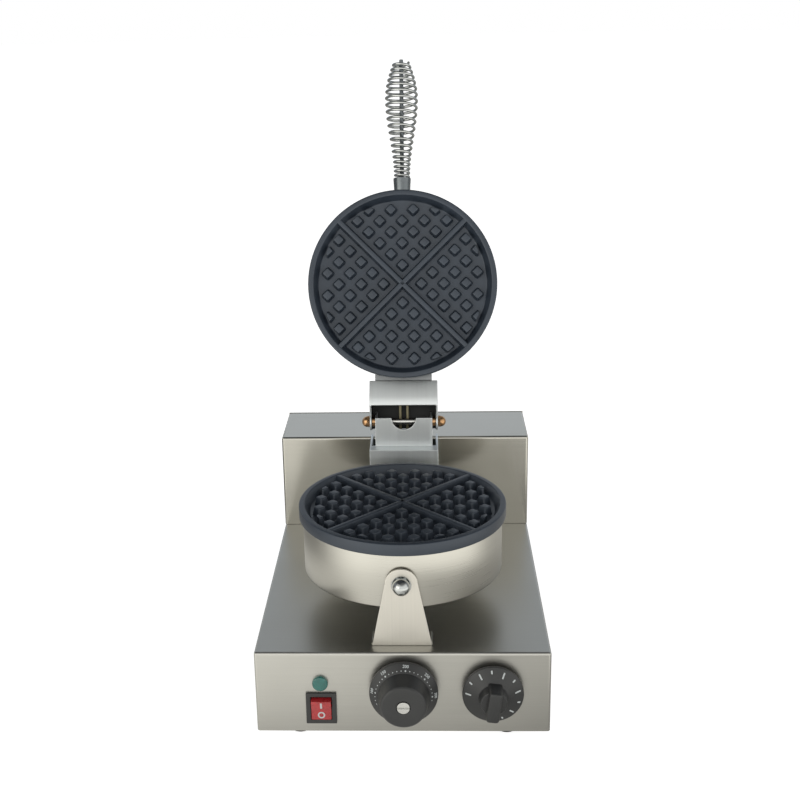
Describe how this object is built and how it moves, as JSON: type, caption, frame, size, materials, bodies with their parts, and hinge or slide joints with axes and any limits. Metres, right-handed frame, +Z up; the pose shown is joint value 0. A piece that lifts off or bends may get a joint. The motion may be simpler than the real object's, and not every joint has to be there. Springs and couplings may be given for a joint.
{
  "type": "waffle baker",
  "caption": "Counter-top round waffle baker: steel box base with dial controls, rear housing, cooking plate in a drum, and a hinged lid with a coil handle.",
  "frame": {"origin": "on the table under the middle of the machine's overall box", "axes": "+Z up, the operator stands on the -Y side, +X to the operator's right; the lid is stored open"},
  "size_m": [0.25, 0.4064, 0.5443],
  "materials": {
    "brushed_steel": "brushed",
    "satin_steel": "satin",
    "cast_plate": "non-stick satin",
    "black_rubber": "matt",
    "bright_steel": "bright zinc",
    "chrome": "polished",
    "brass": "bright",
    "copper": "satin",
    "heater_steel": "heat-dulled",
    "black_plastic": "satin",
    "pale_plastic": "matt",
    "galvanised": "galvanised",
    "lead_sleeve": "woven",
    "green_lens": "translucent",
    "red_plastic": "glossy"
  },
  "bodies": {
    "base": {"base_shell": "brushed_steel", "bottom_plate": "brushed_steel", "bottom_screws": "bright_steel", "rubber_feet": "black_rubber", "foot_screws": "bright_steel", "foot_nuts": "bright_steel", "rear_housing": "brushed_steel", "housing_screws": "bright_steel", "rear_cover": "brushed_steel", "rear_cover_screws": "bright_steel", "cable_gland": "black_plastic", "gland_locknut": "black_plastic", "terminal_block": "pale_plastic", "terminal_screws": "brass", "front_bracket": "brushed_steel", "front_bracket_screws": "bright_steel", "front_spacer": "satin_steel", "front_bolt": "bright_steel", "front_washer": "chrome", "front_dome_nut": "chrome", "lower_drum": "brushed_steel", "lower_grid": "cast_plate", "lower_element": "heater_steel", "lower_heat_shield": "bright_steel", "lower_grid_screws": "bright_steel", "column_bracket": "satin_steel", "column_screws": "bright_steel", "column_spacer": "satin_steel", "column_bolts": "bright_steel", "hinge_bolt": "bright_steel", "hinge_dome_nuts": "brass", "hinge_bushes": "brass", "lid_leads": "lead_sleeve", "lamp_lens": "green_lens", "lamp_body": "black_plastic", "lamp_nut": "black_plastic", "switch_body": "black_plastic", "switch_terminals": "brass", "thermostat_body": "galvanised", "thermostat_screws": "bright_steel", "thermostat_bulb": "copper", "timer_body": "pale_plastic", "timer_screws": "bright_steel"},
    "lid": {"upper_drum": "brushed_steel", "upper_grid": "cast_plate", "upper_element": "heater_steel", "upper_heat_shield": "bright_steel", "upper_grid_screws": "bright_steel", "lid_bracket": "satin_steel", "lid_spacer": "satin_steel", "lid_bolts": "bright_steel", "handle_ferrule": "chrome", "handle_rod": "chrome", "handle_coil": "chrome"},
    "thermostat_dial": {"thermostat_shaft": "bright_steel", "thermostat_knob": "black_plastic", "thermostat_knob_screw": "bright_steel"},
    "timer_dial": {"timer_shaft": "bright_steel", "timer_knob": "black_plastic"},
    "rocker": {"switch_rocker": "red_plastic"}
  },
  "joints": [
    {"name": "lid_hinge", "type": "hinge", "parent": "base", "child": "lid", "pos_m": [0, 0.0667, 0.2028], "axis": [1, 0, 0], "range_deg": [0, 110.5], "deforming": ["lid_leads"]},
    {"name": "thermostat_turn", "type": "hinge", "parent": "base", "child": "thermostat_dial", "pos_m": [0.0012, -0.1723, 0.0489], "axis": [0, 1, 0], "range_deg": [-75, 112.5]},
    {"name": "timer_turn", "type": "hinge", "parent": "base", "child": "timer_dial", "pos_m": [0.076, -0.1723, 0.0476], "axis": [0, 1, 0], "range_deg": [-160, 85]},
    {"name": "rocker_tilt", "type": "hinge", "parent": "base", "child": "rocker", "pos_m": [-0.0691, -0.1693, 0.0304], "axis": [-1, 0, 0], "range_deg": [0, 20]}
  ]
}
